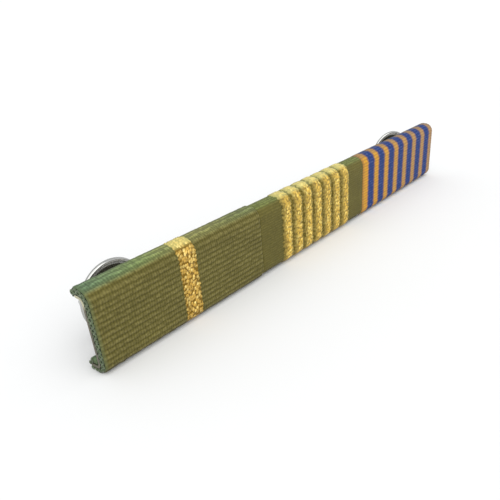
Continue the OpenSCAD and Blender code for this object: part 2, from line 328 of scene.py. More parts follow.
def strip_mesh(start, end, outside, inside, spacing, columns, edge=0.0, press=1.0, top_press=1.0):
    """Points, faces and stored values of a closed strip of cloth from start to end along the bar.

    Outside and inside are its faces' heights over the metal, and edge is the radius of its rounded
    edges. Its relief is pressed to a share of its height round the bottom lip and on the top lip.
    """
    way = course(*outside)
    steps = steps_for(way, spacing)
    top, away, _, past, over = follow(way, steps)
    under = follow(course(*inside), steps)[0]
    neutral = course(*(INNER_SHARE * low + OUTER_SHARE * high for low, high in zip(inside, outside)))
    run = follow(neutral, steps)[2] - run_to_front_middle(neutral)
    pressed = (1 - (1 - press) * past) * (1 - (1 - top_press) * over)
    if edge > 0:
        rim = edge * np.array(RIM_SHARES)
        inner = np.linspace(start + edge, end - edge, columns)[1:-1]
        xs = np.concatenate([start + rim, inner, (end - rim)[::-1]])
    else:
        xs = np.linspace(start, end, columns)
    near = np.minimum(xs - start, end - xs)
    drop = np.where(near < edge, edge - np.sqrt(np.maximum(edge**2 - (edge - near) ** 2, 0)), 0.0)
    flat = np.clip(near / max(FADE_SHARE * edge, 1e-9), 0, 1)
    middle, half = (start + end) / 2, (end - start) / 2
    n, ring_n = len(run), 2 * len(run)
    points, stored = [], {key: [] for key in ("run", "across", "side", "relief", "away")}
    for x, down, full in zip(xs, drop, flat):
        ring = np.concatenate([top - away * down, under[::-1]])
        out = np.concatenate([away, away[::-1]])
        points.append(np.column_stack([np.full(ring_n, x), ring]))
        stored["run"].append(np.concatenate([run, run[::-1]]))
        stored["across"].append(np.full(ring_n, x - start))
        stored["side"].append(np.full(ring_n, (x - middle) / half))
        stored["relief"].append(np.concatenate([full * pressed, np.zeros(n)]))
        stored["away"].append(np.column_stack([np.zeros(ring_n), out]))
    faces = []
    for a in range(0, (len(xs) - 1) * ring_n, ring_n):
        b = a + ring_n
        faces += [(a + r, a + (r + 1) % ring_n, b + (r + 1) % ring_n, b + r) for r in range(ring_n)]
    for base in (0, (len(xs) - 1) * ring_n):
        last = base + ring_n - 1
        faces += [(base + i, base + i + 1, last - 1 - i, last - i) for i in range(n - 1)]
    return np.concatenate(points), faces, {key: np.concatenate(part) for key, part in stored.items()}


def wrapped_strip(name, spans, **shape):
    """One object made of a closed strip for each start and end, with the strips' stored values."""
    points, faces, stored, base = [], [], {}, 0
    for number, (start, end) in enumerate(spans):
        strip_points, strip_faces, values = strip_mesh(start, end, **shape)
        values["number"] = np.full(len(strip_points), float(number))
        points.append(strip_points)
        faces += [tuple(i + base for i in face) for face in strip_faces]
        for key, part in values.items():
            stored.setdefault(key, []).append(part)
        base += len(strip_points)
    obj = new_object(name, np.concatenate(points), faces)
    for key, parts in stored.items():
        store(obj.data, key, np.concatenate(parts), key == "away")
    outward(obj)
    return obj


# Node trees

def wire(tree, kind, inputs=None, **settings):
    """Adds a node to a tree, with its settings, and with its inputs set or linked."""
    node = tree.nodes.new(kind)
    for key, value in settings.items():
        setattr(node, key, value)
    for key, value in (inputs or {}).items():
        if isinstance(value, bpy.types.NodeSocket):
            tree.links.new(value, node.inputs[key])
        else:
            node.inputs[key].default_value = value
    return node


def calc(tree, operation, *terms):
    return wire(tree, "ShaderNodeMath", dict(enumerate(terms)), operation=operation).outputs[0]


def times(tree, value, *factors):
    for factor in factors:
        value = calc(tree, "MULTIPLY", value, factor)
    return value


def strayed(tree, value, wave, reach):
    """A value moved either way by a noise around a half."""
    return calc(tree, "MULTIPLY_ADD", calc(tree, "SUBTRACT", wave, 0.5), reach, value)


def vector_calc(tree, operation, *terms):
    node = wire(tree, "ShaderNodeVectorMath", dict(enumerate(terms)), operation=operation)
    return node.outputs["Value" if operation in ("LENGTH", "DOT_PRODUCT") else "Vector"]


def vector_of(tree, x, y, z=0.0):
    return wire(tree, "ShaderNodeCombineXYZ", {0: x, 1: y, 2: z}).outputs[0]


def parts_of(tree, vector):
    return wire(tree, "ShaderNodeSeparateXYZ", {0: vector}).outputs


def ramp(tree, value, low, high, to_low=0.0, to_high=1.0):
    """Smooth change from one value to another between two limits."""
    inputs = {0: value, 1: low, 2: high, 3: to_low, 4: to_high}
    return wire(tree, "ShaderNodeMapRange", inputs, interpolation_type="SMOOTHSTEP").outputs[0]


def noise_at(tree, where, scale, detail):
    return wire(tree, "ShaderNodeTexNoise", {"Vector": where, "Scale": scale, "Detail": detail}).outputs[0]


def cloth_noise(tree, across, run, x, y, detail, seed):
    """Noise over a cloth's own directions, in turns a millimetre."""
    where = vector_of(tree, times(tree, across, x / MM), times(tree, run, y / MM), seed)
    return noise_at(tree, where, 1.0, detail)


def kept(tree, name, vector=False):
    """A stored value, read in a geometry tree."""
    kind = "FLOAT_VECTOR" if vector else "FLOAT"
    return wire(tree, "GeometryNodeInputNamedAttribute", {"Name": name}, data_type=kind).outputs[0]


def keep(tree, geometry, name, value):
    """Stores a value on the points in a geometry tree."""
    inputs = {"Geometry": geometry, "Name": name, "Value": value}
    node = wire(tree, "GeometryNodeStoreNamedAttribute", inputs, data_type="FLOAT", domain="POINT")
    return node.outputs[0]


def geometry_tree(name, inputs):
    """A geometry tree with named inputs and a finish, and its group input and output nodes."""
    tree = bpy.data.node_groups.new(name, "GeometryNodeTree")
    tree.is_modifier = True
    tree.interface.new_socket("Geometry", in_out="INPUT", socket_type="NodeSocketGeometry")
    for label, default in inputs.items():
        kind = "NodeSocketInt" if isinstance(default, int) else "NodeSocketFloat"
        tree.interface.new_socket(label, in_out="INPUT", socket_type=kind).default_value = default
    tree.interface.new_socket("Finish", in_out="INPUT", socket_type="NodeSocketMaterial")
    tree.interface.new_socket("Geometry", in_out="OUTPUT", socket_type="NodeSocketGeometry")
    return tree, tree.nodes.new("NodeGroupInput"), tree.nodes.new("NodeGroupOutput")


def close_tree(tree, geometry, source, sink):
    """Ends a tree in Realize Instances and Set Material."""
    real = wire(tree, "GeometryNodeRealizeInstances", {0: geometry}).outputs[0]
    inputs = {"Geometry": real, "Material": source.outputs["Finish"]}
    tree.links.new(wire(tree, "GeometryNodeSetMaterial", inputs).outputs[0], sink.inputs[0])


def raised(tree, lift):
    """A shift by a length, in the direction away from the metal."""
    inputs = {0: kept(tree, "away", True), "Scale": lift}
    return wire(tree, "ShaderNodeVectorMath", inputs, operation="SCALE").outputs[0]


def shifted(tree, geometry, offset):
    return wire(tree, "GeometryNodeSetPosition", {"Geometry": geometry, "Offset": offset}).outputs[0]


def grow(obj, tree, **values):
    """Runs a geometry tree on an object and keeps the result as a plain, smooth mesh."""
    modifier = obj.modifiers.new(tree.name, "NODES")
    modifier.node_group = tree
    for item in tree.interface.items_tree:
        key = item.name.replace(" ", "_").lower()
        if item.in_out == "INPUT" and key in values:
            modifier[item.identifier] = values[key]
    bpy.context.view_layer.update()
    graph = bpy.context.evaluated_depsgraph_get()
    mesh = bpy.data.meshes.new_from_object(
        obj.evaluated_get(graph), preserve_all_data_layers=True, depsgraph=graph
    )
    if not mesh.polygons:
        raise RuntimeError(f"{obj.name} came out of {tree.name} with no faces")
    obj.modifiers.remove(modifier)
    old, obj.data = obj.data, mesh
    bpy.data.meshes.remove(old)
    mesh.name = obj.name
    mesh.shade_smooth()


def woven_tree():
    """Presses a ribbon's ribs into a plain strip, broken and uneven as weaving leaves them."""
    tree, source, sink = geometry_tree("Woven ribs", {
        "Rib pitch": 0.83 * MM, "Rib depth": 0.2 * MM, "Rib place": 0.0, "Sway": 0.08 * MM,
        "Waver": 0.2 * MM, "Fuzz": 0.02 * MM, "Seed": 0.0,
    })
    size = source.outputs
    run, across = kept(tree, "run"), kept(tree, "across")

    def grain(step, x, y, detail=2.0):
        return cloth_noise(tree, across, run, x, y, detail, calc(tree, "ADD", size["Seed"], step))

    place = calc(tree, "SUBTRACT", run, size["Rib place"])
    place = strayed(tree, place, grain(0.0, 0.26, 0.42), size["Sway"])
    place = strayed(tree, place, grain(31.0, 1.3, 1.1, 1.0), size["Waver"])
    turn = times(tree, calc(tree, "DIVIDE", place, size["Rib pitch"]), PI)
    rib = calc(tree, "POWER", calc(tree, "ABSOLUTE", calc(tree, "COSINE", turn)), 0.75)
    rib = times(tree, rib, ramp(tree, grain(57.0, 1.5, 1.7), 0.3, 0.7, 0.5, 1.1))
    depth = times(tree, calc(tree, "SUBTRACT", rib, 1.0), size["Rib depth"])
    lift = calc(tree, "MINIMUM", strayed(tree, depth, grain(0.0, 2.4, 3.0), size["Fuzz"]), 0.0)
    held = keep(tree, size["Geometry"], "rib", rib)
    offset = raised(tree, times(tree, lift, kept(tree, "relief")))
    close_tree(tree, shifted(tree, held, offset), source, sink)
    return tree


def thread_tree():
    """Raises the beady lumps of metal thread on a plain strip, and leaves its edges ragged."""
    tree, source, sink = geometry_tree("Metal thread", {
        "Fleck width": 0.5 * MM, "Fleck length": 0.75 * MM, "Slant": 0.3, "Fleck height": 0.12 * MM,
        "Crown": 0.3 * MM, "Ragged": 0.15 * MM, "Seed": 0.0,
    })
    size = source.outputs
    run, across, side = kept(tree, "run"), kept(tree, "across"), kept(tree, "side")
    apart = calc(tree, "MULTIPLY_ADD", kept(tree, "number"), 17.3, size["Seed"])
    slide = strayed(tree, across, cloth_noise(tree, across, run, 0.5, 0.5, 1.0, apart), 0.5 * MM)
    slide = calc(tree, "MULTIPLY_ADD", run, size["Slant"], slide)
    column = calc(tree, "ADD", calc(tree, "DIVIDE", slide, size["Fleck width"]), apart)
    row = calc(tree, "DIVIDE", run, size["Fleck length"])
    cells = wire(
        tree, "ShaderNodeTexVoronoi",
        {"Vector": vector_of(tree, column, row), "Scale": 1.0, "Randomness": 0.85},
        voronoi_dimensions="2D", feature="F1",
    )
    lump = ramp(tree, cells.outputs["Distance"], 0.7, 0.1)
    tone, swell, _ = parts_of(tree, cells.outputs["Color"])
    lift = times(tree, lump, calc(tree, "MULTIPLY_ADD", swell, 0.7, 0.5), size["Fleck height"])
    off_middle = calc(tree, "ABSOLUTE", side)
    crown = calc(tree, "SUBTRACT", 1.0, calc(tree, "POWER", off_middle, 2.4))
    lift = calc(tree, "MULTIPLY_ADD", crown, size["Crown"], lift)
    lift = strayed(tree, lift, cloth_noise(tree, across, run, 4.2, 4.2, 2.0, apart), 0.06 * MM)
    lift = times(tree, lift, kept(tree, "relief"))
    edge = times(tree, calc(tree, "POWER", off_middle, 5.0), size["Ragged"])
    ragged = times(tree, edge, calc(tree, "SIGN", side), calc(tree, "MULTIPLY_ADD", lump, 1.6, -0.8))
    offset = vector_calc(tree, "ADD", raised(tree, lift), vector_of(tree, ragged, 0.0))
    held = keep(tree, size["Geometry"], "fleck", tone)
    held = keep(tree, held, "lump", lump)
    close_tree(tree, shifted(tree, held, offset), source, sink)
    return tree


def selvedge_tree():
    """Sets the weft's turning loops along a ribbon's edge, one for each rib."""
    tree, source, sink = geometry_tree("Selvedge loops", {
        "Loop pitch": 0.83 * MM, "Loop radius": 0.33 * MM, "Thread radius": 0.15 * MM, "Seed": 3,
    })
    size = source.outputs
    line = wire(tree, "GeometryNodeMeshToCurve", {0: size["Geometry"]}).outputs[0]
    evenly = {"Curve": line, "Length": size["Loop pitch"]}
    line = wire(tree, "GeometryNodeResampleCurve", evenly, mode="LENGTH").outputs[0]
    ring, thread = (
        wire(tree, "GeometryNodeCurvePrimitiveCircle", {"Resolution": sides, "Radius": radius}).outputs[0]
        for sides, radius in ((22, size["Loop radius"]), (9, size["Thread radius"]))
    )
    loop = wire(tree, "GeometryNodeCurveToMesh", {"Curve": ring, "Profile Curve": thread}).outputs[0]
    tangent = wire(tree, "GeometryNodeInputTangent").outputs[0]
    turned = wire(
        tree, "FunctionNodeAxesToRotation", {0: tangent, 1: kept(tree, "away", True)},
        primary_axis="X", secondary_axis="Y",
    ).outputs[0]
    tilt = wire(
        tree, "FunctionNodeRandomValue",
        {0: (-0.15, -0.15, -0.5), 1: (0.15, 0.15, 0.5), "Seed": size["Seed"]}, data_type="FLOAT_VECTOR",
    ).outputs[0]
    tilt = wire(tree, "FunctionNodeEulerToRotation", {0: tilt}).outputs[0]
    turned = wire(
        tree, "FunctionNodeRotateRotation", {0: turned, 1: tilt}, rotation_space="LOCAL"
    ).outputs[0]
    spread = {2: 0.92, 3: 1.06, "Seed": size["Seed"]}
    wide = wire(tree, "FunctionNodeRandomValue", spread, data_type="FLOAT").outputs[1]
    wide = times(tree, wide, kept(tree, "room"))
    scale = vector_of(tree, times(tree, wide, 1.12), wide, wide)
    inputs = {"Points": line, "Instance": loop, "Rotation": turned, "Scale": scale}
    close_tree(tree, wire(tree, "GeometryNodeInstanceOnPoints", inputs).outputs[0], source, sink)
    return tree


# Materials

# The axes that a cloth's side may turn along, towards the back and upwards
BACK, UP = 1, 2


def finish(name, roughness, **constants):
    """A new material, with its shader's fixed values on the shader's own sockets."""
    material = bpy.data.materials.new(name)
    material.use_nodes = True
    tree = material.node_tree
    shader = tree.nodes["Principled BSDF"]
    shader.inputs["Roughness"].default_value = roughness
    for key, value in constants.items():
        shader.inputs[key.replace("_", " ")].default_value = value
    return material, tree, shader


def cloth_finish(name):
    """A matt material with a faint sheen."""
    return finish(name, 0.88, Specular_IOR_Level=0.12, Sheen_Weight=0.06, Sheen_Roughness=0.5)


def paint(tree, shader, colour):
    tree.links.new(colour, shader.inputs["Base Color"])


def relief(tree, shader, height, distance, strength):
    bump = wire(tree, "ShaderNodeBump", {"Height": height, "Distance": distance, "Strength": strength})
    tree.links.new(bump.outputs[0], shader.inputs["Normal"])


def read(tree, name, output="Fac"):
    """A stored value, read in a material."""
    return wire(tree, "ShaderNodeAttribute", attribute_name=name).outputs[output]


def noise(tree, x, y, detail=2.0, seed=0.0):
    """Noise over a cloth's own directions in a material, in turns a millimetre."""
    return cloth_noise(tree, read(tree, "across"), read(tree, "run"), x, y, detail, seed)


def on_object(tree):
    """The place on a piece, for a pattern that follows the piece."""
    return wire(tree, "ShaderNodeTexCoord").outputs["Object"]


def rgb(colour):
    """A colour as a socket takes it: a linked one stays as it is."""
    return colour if isinstance(colour, bpy.types.NodeSocket) else (*colour, 1.0)


def mix(tree, share, a, b, blend="MIX"):
    """Mixes two colours."""
    inputs = {0: share, 6: rgb(a), 7: rgb(b)}
    return wire(tree, "ShaderNodeMix", inputs, data_type="RGBA", blend_type=blend).outputs[2]


def shade_by(tree, colour, value, low, high):
    """Darkens and lightens a colour by a value from 0 to 1."""
    share = wire(tree, "ShaderNodeMapRange", {0: value, 1: 0.25, 2: 0.75, 3: low, 4: high}).outputs[0]
    grey = wire(tree, "ShaderNodeCombineColor", {0: share, 1: share, 2: share}).outputs[0]
    return mix(tree, 1.0, colour, grey, "MULTIPLY")


def facing(tree, axis, low, high):
    """How far a cloth's side turns along an axis, eased from 0 to 1."""
    return ramp(tree, parts_of(tree, read(tree, "away", "Vector"))[axis], low, high)


def facing_up(tree):
    """1 where the cloth lies on top of the lip, 0 on the front; it masks the light and shade painted
    there.
    """
    return facing(tree, UP, 0.62, 0.95)


def along(tree, value, stops):
    """Colour that changes from stop to stop, each a value from 0 to 1 and its colour."""
    node = wire(tree, "ShaderNodeValToRGB", {0: value})
    marks = node.color_ramp.elements
    while len(marks) < len(stops):
        marks.new(0.5)
    for mark, (place, colour) in zip(marks, stops):
        mark.position = place
        mark.color = rgb(colour)
    return node.outputs[0]


def shaded_tip(tree, colour):
    """Painted shade: darker where the cloth turns down behind the lip, and underneath."""
    colour = mix(tree, times(tree, facing(tree, UP, -0.25, -0.95), 0.45), colour, (0.02, 0.02, 0.02))
    return mix(tree, times(tree, facing(tree, BACK, -0.1, 0.8), 0.45), colour, (0.02, 0.03, 0.02))


def warp_threads(tree, pitch):
    """The fine threads that run with the ribbon and cover its ribs."""
    drift = times(tree, noise(tree, 0.5, 0.9, 1.0, 3.0), 7.0)
    turn = calc(tree, "MULTIPLY_ADD", read(tree, "across"), 2 * PI / pitch, drift)
    return calc(tree, "MULTIPLY_ADD", calc(tree, "SINE", turn), 0.5, 0.5)


def woven_cloth(name, top, groove_shade, lit_lips, warp_pitch, contrast, end=None, band=None):
    """Cloth whose warp covers its ribs: painted light on the ribs and painted shade in the grooves, broken
    along them, and greener on the lip, partly the weft's colour and partly painted light and sheen from
    above.

    End gives the colours of its left edge and of the cut there; the cut's near-black is painted shade
    for the holes between the loops, and takes the edge's colour near the lower fold. Band gives the
    middle and half width of a stripe of another colour, and its colours on the front and on the lip.
    """
    material, tree, shader = cloth_finish(name)
    across = read(tree, "across")
    # Painted light on the rib crests and painted shade in the grooves, broken by noise
    crest = times(tree, ramp(tree, read(tree, "rib"), 0.25, 1.0),
                  ramp(tree, noise(tree, 1.7, 2.2, 3.0, 5.0), 0.3, 0.62, 0.4, 1.1))
    speckle = noise(tree, 2.2, 3.4, 3.0, 1.0)
    warp = warp_threads(tree, warp_pitch)
    # The lip's colour is partly the weft's own and partly painted light and sheen from above, with painted
    # shade in its grooves
    lip = along(tree, calc(tree, "DIVIDE", across, RIBBON_WIDTH * MM), lit_lips)
    lip = shade_by(tree, lip, crest, 0.64, 1.08)
    colour = mix(tree, facing_up(tree), mix(tree, crest, groove_shade, top), lip)
    colour = shade_by(tree, colour, speckle, 1 - contrast, 1 + contrast)
    colour = shade_by(tree, colour, noise(tree, 0.16, 0.3, 2.0, 7.0), 0.9, 1.1)
    colour = shade_by(tree, colour, warp, 1 - 0.5 * contrast, 1 + 0.5 * contrast)
    if end is not None:
        edge, cut = end
        colour = mix(tree, ramp(tree, across, 0.7 * MM, 0.05 * MM, 0.0, 0.4), colour, edge)
        # The cut's colour is painted shade, dark as the holes between the loops, and turns to the edge's
        # colour near the lower fold
        cap = mix(tree, ramp(tree, read(tree, "run"), 4.6 * MM, 5.8 * MM), cut, edge)
        colour = mix(tree, calc(tree, "LESS_THAN", across, 0.02 * MM), colour, cap)
    if band is not None:
        middle, half, front, on_lip = band
        off_middle = calc(tree, "ABSOLUTE", calc(tree, "SUBTRACT", across, middle))
        inside = calc(tree, "LESS_THAN", off_middle, half)
        colour = mix(tree, inside, colour, mix(tree, facing_up(tree), front, on_lip))
    paint(tree, shader, shaded_tip(tree, colour))
    relief(tree, shader, calc(tree, "MULTIPLY_ADD", warp, 0.5, times(tree, speckle, 1.4)), 0.06 * MM, 0.8)
    return material


def striped_cloth(width):
    """Gold and blue stripes whose borders follow the ribs like saw teeth."""
    c, s = colours(), sizes()
    material, tree, shader = cloth_finish("striped_cloth")
    run, across, rib = read(tree, "run"), read(tree, "across"), read(tree, "rib")
    tooth = calc(tree, "DIVIDE", calc(tree, "PINGPONG", run, s.stripe_rib), s.stripe_rib)
    wander = calc(tree, "SUBTRACT", noise(tree, 2.5, 2.5, 2.0, 4.0), 0.5)
    place = calc(tree, "ADD", calc(tree, "MULTIPLY_ADD", tooth, 0.16 * MM, across),
                 calc(tree, "MULTIPLY_ADD", wander, 0.25 * MM, -0.08 * MM))
    place = calc(tree, "MINIMUM", calc(tree, "MAXIMUM", place, 0.4 * MM), width - 0.4 * MM)
    half = s.stripe_w / 2
    within = calc(tree, "PINGPONG", calc(tree, "SUBTRACT", place, half), s.stripe_w)
    blue = ramp(tree, within, half - 0.6 * MM, half + 0.28 * MM)
    border = calc(tree, "ABSOLUTE", calc(tree, "SUBTRACT", within, half - 0.16 * MM))
    border = ramp(tree, border, 0.34 * MM, 0.05 * MM)
    crest = times(tree, ramp(tree, rib, 0.5, 1.0), ramp(tree, noise(tree, 1.4, 2.0, 2.0, 6.0), 0.4, 0.7))
    speckle = noise(tree, 2.4, 4.0, 3.0, 2.0)
    gold = mix(tree, ramp(tree, across, 1 * MM, 31 * MM), c.amber, c.buff)
    # Painted shade: the gold darker where the cloth lies on the lip
    gold = mix(tree, times(tree, facing_up(tree), 0.45), gold, (0.2, 0.16, 0.12))
    # Painted shade in the rib grooves, and painted light on the blue's rib crests
    gold = mix(tree, ramp(tree, rib, 0.7, 0.15, 0.0, 0.2), gold, c.fringe)
    dyed = mix(tree, times(tree, crest, 0.16), c.blue, (0.45, 0.48, 0.62))
    colour = mix(tree, blue, gold, dyed)
    colour = mix(tree, times(tree, border, 0.4), colour, c.fringe)
    colour = shade_by(tree, colour, speckle, 0.86, 1.14)
    colour = shade_by(tree, colour, ramp(tree, rib, 0.1, 0.9), 0.88, 1.03)
    # Painted shade: greyer and darker where the cloth turns back on the lip's far side
    colour = mix(tree, times(tree, facing(tree, BACK, -0.25, 0.35), 0.5), colour, (0.12, 0.13, 0.13))
    colour = mix(tree, ramp(tree, across, width - 1.6 * MM, width, 0.0, 0.4), colour, (0.16, 0.13, 0.15))
    paint(tree, shader, shaded_tip(tree, colour))
    height = calc(tree, "MULTIPLY_ADD", warp_threads(tree, 0.17 * MM), 0.5, speckle)
    relief(tree, shader, height, 0.05 * MM, 0.7)
    return material


def metal_thread(name, dark, gold, pale, flank):
    """Metal thread: each fleck has its own tone, with painted shade between the flecks and on both flanks,
    and painted light on the lip.
    """
    c = colours()
    material, tree, shader = finish(name, 0.42, Metallic=0.25, Specular_IOR_Level=0.5)
    tone = along(tree, read(tree, "fleck"), [(0.0, toned(gold, 0.72)), (0.6, gold), (1.0, pale)])
    # Painted shade between the flecks
    colour = mix(tree, ramp(tree, read(tree, "lump"), -0.1, 0.6), dark, tone)
    colour = shade_by(tree, colour, noise(tree, 0.9, 1.1, 2.0, 12.0), 0.75, 1.2)
    grain = noise(tree, 5.0, 5.0, 3.0, 9.0)
    colour = shade_by(tree, colour, grain, 0.72, 1.25)
    side = read(tree, "side")
    # Painted shade on both flanks, where the thread curves down
    left, right = (ramp(tree, side, low, high, 0.0, flank) for low, high in ((-0.15, -1.0), (0.35, 1.0)))
    colour = mix(tree, calc(tree, "MAXIMUM", left, right), colour, c.flank)
    # Painted light from above where the thread lies on the lip; where it turns back it takes the fold's
    # colour with its painted light
    colour = mix(tree, times(tree, facing_up(tree), 0.48), colour, (0.8, 0.76, 0.28))
    colour = mix(tree, times(tree, facing(tree, BACK, 0.0, 0.7), 0.6), colour, c.lit_moss_lip)
    paint(tree, shader, shaded_tip(tree, colour))
    rough = wire(tree, "ShaderNodeMapRange", {0: grain, 3: 0.35, 4: 0.6}).outputs[0]
    tree.links.new(rough, shader.inputs["Roughness"])
    relief(tree, shader, grain, 0.06 * MM, 0.9)
    return material


def loop_cloth(name, pale, dark):
    """Thread of the selvedge's loops, on the object's own coordinates."""
    sheen = {"Sheen_Weight": 0.3, "Sheen_Roughness": 0.5}
    material, tree, shader = finish(name, 0.8, Specular_IOR_Level=0.3, **sheen)
    where = on_object(tree)
    grain = noise_at(tree, where, 5200.0, 3.0)
    colour = mix(tree, noise_at(tree, where, 900.0, 1.0), dark, pale)
    paint(tree, shader, shade_by(tree, colour, grain, 0.7, 1.3))
    relief(tree, shader, grain, 0.05 * MM, 0.8)
    return material


def plated(name, colour, roughness, streak, dull=None):
    """Bright metal with fine drawing lines and a little uneven gloss.

    Where a part of it is dull, dull gives that part, made rougher, and its colour, from the place on the
    object: the cut edge's colour with a painted highlight, and painted shade on a clutch's face.
    """
    material, tree, shader = finish(name, roughness, Metallic=1.0)
    where = on_object(tree)
    drawn = wire(tree, "ShaderNodeMapping", {"Vector": where, "Scale": streak}).outputs[0]
    lines = noise_at(tree, drawn, 1.0, 4.0)
    cloud = noise_at(tree, where, 350.0, 3.0)
    tint = mix(tree, cloud, toned(colour, 0.82), toned(colour, 1.12))
    gloss = calc(tree, "MULTIPLY_ADD", lines, 0.5 * roughness, times(tree, cloud, roughness))
    if dull is not None:
        # The part's colour holds painted light and shade
        part, colour_with_painted_light = dull(tree, where)
        tint = mix(tree, part, tint, shade_by(tree, colour_with_painted_light, cloud, 0.8, 1.2))
        gloss = calc(tree, "MULTIPLY_ADD", part, 0.3, gloss)
    paint(tree, shader, tint)
    tree.links.new(gloss, shader.inputs["Roughness"])
    relief(tree, shader, lines, 0.01 * MM, 0.15)
    return material


def cut_edge(tree, where):
    """The sheet's cut ends: grey-brown, and a painted cream highlight where the top lip bends back."""
    x, _, z = parts_of(tree, where)
    part = calc(tree, "GREATER_THAN", calc(tree, "ABSOLUTE", x), CARRIER_HIGH.x - 0.03 * MM)
    bend = ramp(tree, z, CARRIER_HIGH.z - 2.2 * MM, CARRIER_HIGH.z - 0.9 * MM)
    # The cream is a painted highlight
    return part, mix(tree, bend, (0.20, 0.185, 0.14), (0.62, 0.60, 0.42))


def dished_face(hand):
    """The clutch's dished face, painted shade inside its bright rim, and a little painted shade on the
    disc's slightly dull edge.
    """
    middle, axis = DISHES[hand]

    def part(tree, where):
        out = vector_calc(tree, "SUBTRACT", where, middle)
        radius = vector_calc(tree, "LENGTH", vector_calc(tree, "CROSS_PRODUCT", out, axis))
        front = calc(tree, "LESS_THAN", vector_calc(tree, "DOT_PRODUCT", out, axis), 0.15 * MM)
        inside = ramp(tree, radius, DISH_R + 0.1 * MM, DISH_R - 0.15 * MM)
        rim = ramp(tree, radius, DISH_R + 0.6 * MM, DISH_R + 0.8 * MM, 0.0, 0.3)
        # Painted shade: the dished face inside the rim, and a little on the disc's edge
        return calc(tree, "MAXIMUM", times(tree, front, inside), rim), (0.085, 0.085, 0.065)

    return part


# Pieces

def dress(node, material):
    """Gives a CAD node its material and keeps its mesh as it is."""
    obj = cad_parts[node]
    if obj.material_slots:
        for place in obj.material_slots:
            place.link = "OBJECT"
            place.material = material
    else:
        obj.data.materials.append(material)


def ribbon_span(node):
    low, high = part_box(node)
    return low.x, high.x


def on_bar(obj):
    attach(obj, "bar")


def cloth_sheet(obj, node):
    """Makes a strip of cloth stand for its CAD node: puts it on the bar and hides the node.
    """
    on_bar(obj)
    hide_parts(node)


def selvedge(name, x, height, low, radius, thread, pitch, seed, material, turned=False):
    """A row of weft loops at a ribbon's end, along the middle of its thickness."""
    way = course(height, low)
    points, away, run, past, _ = follow(way, steps_for(way, 0.15 * MM))
    room = 1 - (1 - low / height) * past
    inner = (run > LOOPS_START) & (run < run[-1] - LOOPS_STOP)
    points, away, room = (part[inner][::-1 if turned else 1] for part in (points, away, room))
    n = len(points)
    row = np.column_stack([np.full(n, x), points])
    obj = new_object(name, row, [], [(i, i + 1) for i in range(n - 1)])
    store(obj.data, "away", np.column_stack([np.zeros(n), away]), True)
    store(obj.data, "room", room)
    grow(obj, selvedge_tree(), loop_pitch=pitch, loop_radius=radius, thread_radius=thread, seed=seed,
         finish=material)
    outward(obj)
    on_bar(obj)
    return obj


class RIBBONBAR_OT_ribbed_ribbon(bpy.types.Operator):
    """Weave the ribbed olive ribbon with its gold band and selvedge loops"""

    bl_idname = "ribbonbar.ribbed_ribbon"
    bl_label = "Ribbed ribbon"

    def execute(self, context):
        s, c = sizes(), colours()
        start, end = ribbon_span("ribbon_ribbed")
        middle = (s.band_left + s.band_right) / 2 - start - LOOP_ROOM
        # The fold's colours hold painted light and sheen from above on top of the weft's colour
        lit_lips = [(0.03, c.lit_lip_start), (0.29, c.lit_lip_left), (0.48, c.lit_lip_right), (0.66, c.lit_lip_right),
                (0.92, c.lit_lip_end)]
        cloth = woven_cloth(
            "ribbed_cloth", c.olive, c.olive_groove_shade, lit_lips, warp_pitch=0.45 * MM, contrast=0.22,
            # The cut's near-black is painted shade for the holes between the loops
            end=(c.loop_green, (0.03, 0.042, 0.025)),
            # Under the gold band the cloth takes the thread's painted shade on the front and a paler gold
            # on the lip, painted light from above
            band=(middle, (s.band_right - s.band_left) / 2, c.thread_dark, (0.5, 0.44, 0.14)),
        )
        strip = wrapped_strip(
            "ribbon_ribbed_cloth", [(start + LOOP_ROOM, end)], outside=lifted(RIBBED),
            inside=SEAT, spacing=s.rib_pitch / 11, columns=84, edge=0.25 * MM, top_press=0.6,
        )
        grow(strip, woven_tree(), rib_pitch=s.rib_pitch, rib_depth=s.rib_depth, rib_place=0.4 * MM,
             sway=0.1 * MM, waver=0.2 * MM, fuzz=0.1 * MM, seed=2.0, finish=cloth)
        band = wrapped_strip(
            "gold_band", [(s.band_left, s.band_right)], outside=lifted(RIBBED, BAND_FACE),
            inside=lifted(RIBBED, BAND_FOOT), spacing=0.07 * MM, columns=44, press=0.4, top_press=0.95,
        )
        grow(band, thread_tree(), fleck_width=0.44 * MM, fleck_length=0.56 * MM, slant=0.2,
             fleck_height=0.2 * MM, crown=0.04 * MM, ragged=0.22 * MM, seed=4.0,
             finish=metal_thread("band_thread", c.thread_dark, c.thread_gold, c.thread_pale, 0.3))
        on_bar(band)
        loops = selvedge(
            "selvedge_left", start, SEAT_GAP + 0.5 * MM, SEAT_GAP + 0.33 * MM, radius=0.31 * MM,
            thread=0.12 * MM, pitch=s.loop_pitch, seed=3,
            material=loop_cloth("selvedge_green", c.loop_green, toned(c.loop_green, 0.4)),
        )
        cloth_sheet(strip, "ribbon_ribbed")
        return {"FINISHED"}


